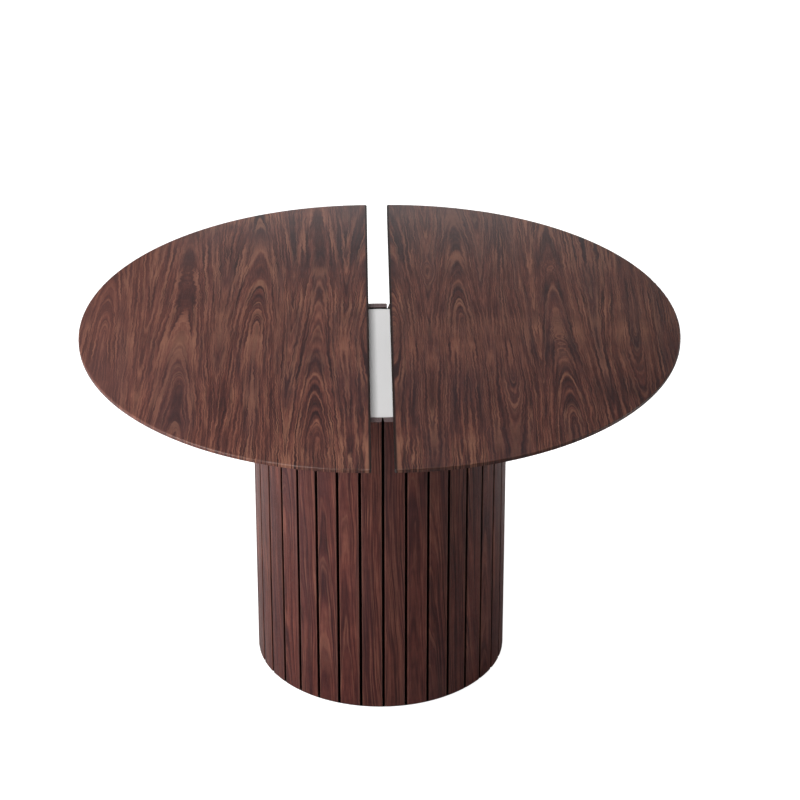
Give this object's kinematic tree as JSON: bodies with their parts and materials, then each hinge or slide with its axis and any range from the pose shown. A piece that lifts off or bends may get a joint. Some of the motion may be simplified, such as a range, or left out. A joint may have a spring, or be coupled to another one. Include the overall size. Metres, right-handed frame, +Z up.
{
  "type": "round pedestal table",
  "caption": "Round dining table with a split top, whose half-round boards slide apart on runners above a drum pedestal of upright slats.",
  "frame": {"origin": "on the floor under the middle of the drum", "axes": "+Z up, the seam between the halves along Y, front at -Y, the halves slide along X"},
  "size_m": [1.245, 1.2, 0.77],
  "materials": {
    "walnut_top": "satin oiled dark walnut, grain along the seam",
    "walnut_slats": "satin oiled dark walnut, grain upright",
    "dark_lipping": "satin, stained nearly black",
    "white_panel": "smooth satin white",
    "black_lining": "matt black",
    "core_board": "raw fibreboard",
    "plain_beech": "planed, unfinished",
    "stained_beech": "dark stain, matt",
    "rail_steel": "zinc plated, rolled",
    "zinc_steel": "bright zinc",
    "glide_plastic": "hard black nylon"
  },
  "bodies": {
    "base": {"slat_01": "walnut_slats", "slat_02": "walnut_slats", "slat_03": "walnut_slats", "slat_04": "walnut_slats", "slat_05": "walnut_slats", "slat_06": "walnut_slats", "slat_07": "walnut_slats", "slat_08": "walnut_slats", "slat_09": "walnut_slats", "slat_10": "walnut_slats", "slat_11": "walnut_slats", "slat_12": "walnut_slats", "slat_13": "walnut_slats", "slat_14": "walnut_slats", "slat_15": "walnut_slats", "slat_16": "walnut_slats", "slat_17": "walnut_slats", "slat_18": "walnut_slats", "slat_19": "walnut_slats", "slat_20": "walnut_slats", "slat_21": "walnut_slats", "slat_22": "walnut_slats", "slat_23": "walnut_slats", "slat_24": "walnut_slats", "slat_25": "walnut_slats", "slat_26": "walnut_slats", "slat_27": "walnut_slats", "slat_28": "walnut_slats", "slat_29": "walnut_slats", "slat_30": "walnut_slats", "slat_31": "walnut_slats", "slat_32": "walnut_slats", "slat_33": "walnut_slats", "slat_34": "walnut_slats", "slat_35": "walnut_slats", "lining": "black_lining", "lower_ring": "core_board", "middle_ring": "core_board", "upper_ring": "core_board", "base_plate": "core_board", "cover_panel": "white_panel", "cross_beams": "plain_beech", "floor_glides": "glide_plastic", "bearer_bolts": "zinc_steel", "left_bearers": "stained_beech", "right_bearers": "stained_beech", "left_fixed_rails": "rail_steel", "right_fixed_rails": "rail_steel"},
    "left_runner": {"left_middle_rails": "rail_steel"},
    "left_half": {"left_top": "walnut_top", "left_seam_band": "dark_lipping", "left_battens": "stained_beech", "left_batten_screws": "zinc_steel", "left_moving_rails": "rail_steel"},
    "right_runner": {"right_middle_rails": "rail_steel"},
    "right_half": {"right_top": "walnut_top", "right_seam_band": "dark_lipping", "right_battens": "stained_beech", "right_batten_screws": "zinc_steel", "right_moving_rails": "rail_steel"}
  },
  "joints": [
    {"name": "left_half_slide", "type": "slide", "parent": "base", "child": "left_half", "axis": [-1, 0, 0], "range_m": [-0.0223, 0.1777]},
    {"name": "right_half_slide", "type": "slide", "parent": "base", "child": "right_half", "axis": [1, 0, 0], "range_m": [-0.0223, 0.1777]},
    {"name": "left_runner_slide", "type": "slide", "parent": "base", "child": "left_runner", "axis": [-1, 0, 0], "range_m": [-0.0112, 0.0889]},
    {"name": "right_runner_slide", "type": "slide", "parent": "base", "child": "right_runner", "axis": [1, 0, 0], "range_m": [-0.0112, 0.0889]}
  ],
  "couplings": [
    {"joint": "left_runner_slide", "follows": "left_half_slide", "ratio": 0.5},
    {"joint": "right_runner_slide", "follows": "right_half_slide", "ratio": 0.5}
  ]
}
